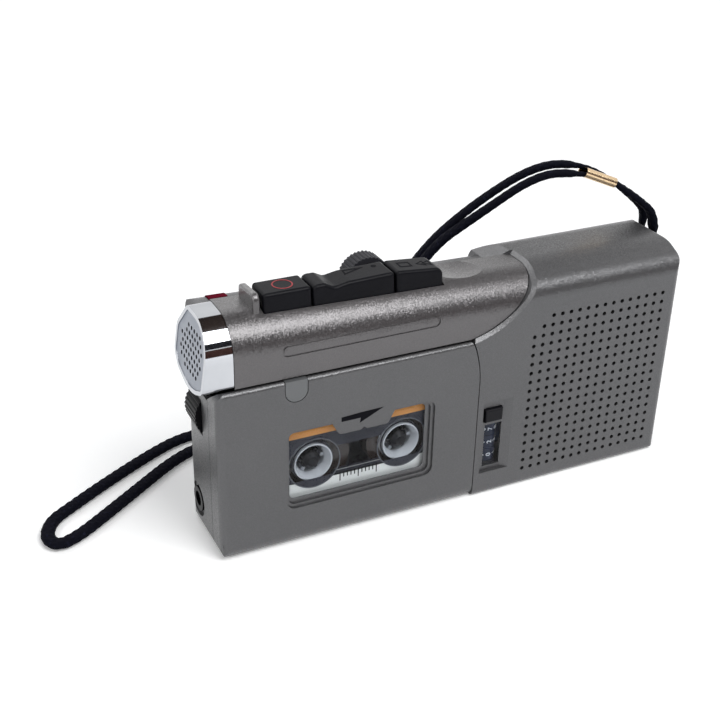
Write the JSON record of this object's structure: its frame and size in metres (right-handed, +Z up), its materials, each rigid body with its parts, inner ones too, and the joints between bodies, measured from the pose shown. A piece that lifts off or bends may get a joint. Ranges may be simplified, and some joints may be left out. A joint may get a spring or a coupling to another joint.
{
  "type": "voice recorder",
  "caption": "Pocket voice recorder for microcassettes: silver case with hinged cassette lid, push buttons, perforated speaker, microphone cap, thumbwheels and wrist strap.",
  "frame": {"origin": "middle of the long edge it stands on, halfway between the end faces and between front and back", "axes": "+X towards the speaker end, +Y towards the back, +Z up to the push buttons"},
  "size_m": [0.1611, 0.0526, 0.0701],
  "materials": {
    "silver_paint": "fine metallic silver",
    "catch_plastic": "smooth greenish grey",
    "clear_plastic": "clear",
    "steel": "satin",
    "chrome_rim": "polished",
    "pale_grille": "satin pale blue white",
    "black_plastic": "matte",
    "dark_plastic": "matte",
    "button_plastic": "satin dark",
    "red_lens": "clear red",
    "grey_plastic": "matte",
    "board_laminate": "green lacquer",
    "magnet_ferrite": "dull",
    "cone_paper": "matte",
    "cell_jacket": "gloss blue",
    "brass": "satin",
    "belt_rubber": "matte",
    "white_plastic": "satin",
    "cassette_plastic": "smoked",
    "label_card": "printed, plain",
    "tape_pack": "dark brown",
    "drum_plastic": "dark blue with white figures",
    "strap_fabric": "flat braid",
    "ferrule_metal": "polished"
  },
  "bodies": {
    "case": {"front_cabinet": "silver_paint", "rear_cabinet": "silver_paint", "barrel_cover": "silver_paint", "lid_hinge_pins": "steel", "mic_cap": "chrome_rim", "mic_grille": "pale_grille", "mic_capsule": "dark_plastic", "record_spring": "steel", "play_spring": "steel", "stop_spring": "steel", "button_bridge": "steel", "wheel_controls": "grey_plastic", "record_lamp": "red_lens", "earphone_jack": "grey_plastic", "speaker_frame": "steel", "speaker_magnet": "magnet_ferrite", "speaker_cone": "cone_paper", "circuit_board": "board_laminate", "board_parts": "black_plastic", "battery_lower": "cell_jacket", "battery_upper": "cell_jacket", "battery_contacts": "brass", "tape_deck": "steel", "motor": "steel", "drive_belt": "belt_rubber", "cassette_shell": "cassette_plastic", "cassette_label": "label_card", "counter_frame": "dark_plastic", "counter_window": "clear_plastic", "case_screws": "steel", "mechanism_screws": "steel", "strap_cord": "strap_fabric", "strap_ferrule": "ferrule_metal"},
    "cassette_door": {"cassette_lid": "silver_paint", "lid_window": "clear_plastic", "lid_catch": "catch_plastic", "cassette_springs": "steel"},
    "record_key": {"record_button": "button_plastic"},
    "play_key": {"play_button": "button_plastic"},
    "stop_key": {"stop_button": "button_plastic"},
    "sled": {"head_sled": "steel", "tape_heads": "steel"},
    "roller": {"pinch_roller": "belt_rubber"},
    "reset_key": {"reset_button": "black_plastic"},
    "volume": {"volume_wheel": "dark_plastic"},
    "speed": {"speed_wheel": "black_plastic"},
    "battery_door": {"battery_lid": "silver_paint"},
    "capstan_drive": {"capstan": "steel", "flywheel": "brass"},
    "motor_drive": {"motor_pulley": "brass"},
    "idler": {"idler_gear": "white_plastic"},
    "takeup_reel": {"takeup_spindle": "black_plastic", "takeup_hub": "white_plastic", "takeup_tape": "tape_pack"},
    "supply_reel": {"supply_spindle": "black_plastic", "supply_hub": "white_plastic", "supply_tape": "tape_pack"},
    "units_drum": {"counter_drum_units": "drum_plastic"},
    "tens_drum": {"counter_drum_tens": "drum_plastic"},
    "hundreds_drum": {"counter_drum_hundreds": "drum_plastic"}
  },
  "joints": [
    {"name": "lid_hinge", "type": "hinge", "parent": "case", "child": "cassette_door", "pos_m": [0, -0.0093, 0.003], "axis": [1, 0, 0], "range_deg": [0, 65]},
    {"name": "record_press", "type": "slide", "parent": "case", "child": "record_key", "axis": [0, 0, -1], "range_m": [0, 0.002], "stiffness_N_per_m": 250, "springref_m": -0.002, "deforming": ["record_spring"]},
    {"name": "play_press", "type": "slide", "parent": "case", "child": "play_key", "axis": [0, 0, -1], "range_m": [0, 0.002], "stiffness_N_per_m": 250, "springref_m": -0.002, "deforming": ["play_spring"]},
    {"name": "stop_press", "type": "slide", "parent": "case", "child": "stop_key", "axis": [0, 0, -1], "range_m": [0, 0.002], "stiffness_N_per_m": 250, "springref_m": -0.002, "deforming": ["stop_spring"]},
    {"name": "head_slide", "type": "slide", "parent": "case", "child": "sled", "axis": [0, 0, -1], "range_m": [0, 0.002]},
    {"name": "reset_press", "type": "slide", "parent": "case", "child": "reset_key", "axis": [0, 1, 0], "range_m": [0, 0.001], "stiffness_N_per_m": 200, "springref_m": -0.001},
    {"name": "volume_turn", "type": "hinge", "parent": "case", "child": "volume", "pos_m": [-0.0173, 0, 0.055], "axis": [0, 1, 0], "range_deg": [-135, 135]},
    {"name": "speed_turn", "type": "hinge", "parent": "case", "child": "speed", "pos_m": [-0.0545, 0, 0.032], "axis": [0, 1, 0], "range_deg": [-135, 135]},
    {"name": "battery_lid_slide", "type": "slide", "parent": "case", "child": "battery_door", "axis": [1, 0, 0], "range_m": [0, 0.008]},
    {"name": "capstan_spin", "type": "hinge", "parent": "case", "child": "capstan_drive", "pos_m": [-0.009, 0, 0.0334], "axis": [0, 1, 0], "continuous": true},
    {"name": "motor_spin", "type": "hinge", "parent": "case", "child": "motor_drive", "pos_m": [-0.0385, 0, 0.0354], "axis": [0, 1, 0], "continuous": true},
    {"name": "idler_spin", "type": "hinge", "parent": "case", "child": "idler", "pos_m": [-0.0244, 0, 0.0192], "axis": [0, 1, 0], "continuous": true},
    {"name": "takeup_spin", "type": "hinge", "parent": "case", "child": "takeup_reel", "pos_m": [-0.0142, 0, 0.0192], "axis": [0, 1, 0], "continuous": true},
    {"name": "supply_spin", "type": "hinge", "parent": "case", "child": "supply_reel", "pos_m": [-0.0362, 0, 0.0192], "axis": [0, 1, 0], "continuous": true},
    {"name": "pinch_spin", "type": "hinge", "parent": "sled", "child": "roller", "pos_m": [-0.009, 0, 0.03945], "axis": [0, 1, 0], "continuous": true},
    {"name": "units_spin", "type": "hinge", "parent": "case", "child": "units_drum", "pos_m": [0.0097, -0.0075, 0], "axis": [0, 0, 1], "continuous": true},
    {"name": "tens_spin", "type": "hinge", "parent": "case", "child": "tens_drum", "pos_m": [0.0097, -0.0075, 0], "axis": [0, 0, 1], "continuous": true},
    {"name": "hundreds_spin", "type": "hinge", "parent": "case", "child": "hundreds_drum", "pos_m": [0.0097, -0.0075, 0], "axis": [0, 0, 1], "continuous": true}
  ],
  "couplings": [
    {"joint": "head_slide", "follows": "play_press", "ratio": 1},
    {"joint": "motor_spin", "follows": "capstan_spin", "ratio": 3.6667},
    {"joint": "idler_spin", "follows": "capstan_spin", "ratio": 1.8333},
    {"joint": "takeup_spin", "follows": "capstan_spin", "ratio": -0.76389},
    {"joint": "supply_spin", "follows": "capstan_spin", "ratio": -0.63657},
    {"joint": "pinch_spin", "follows": "capstan_spin", "ratio": -0.23438},
    {"joint": "units_spin", "follows": "capstan_spin", "ratio": 0.38194},
    {"joint": "tens_spin", "follows": "capstan_spin", "ratio": 0.038194},
    {"joint": "hundreds_spin", "follows": "capstan_spin", "ratio": 0.003819}
  ]
}
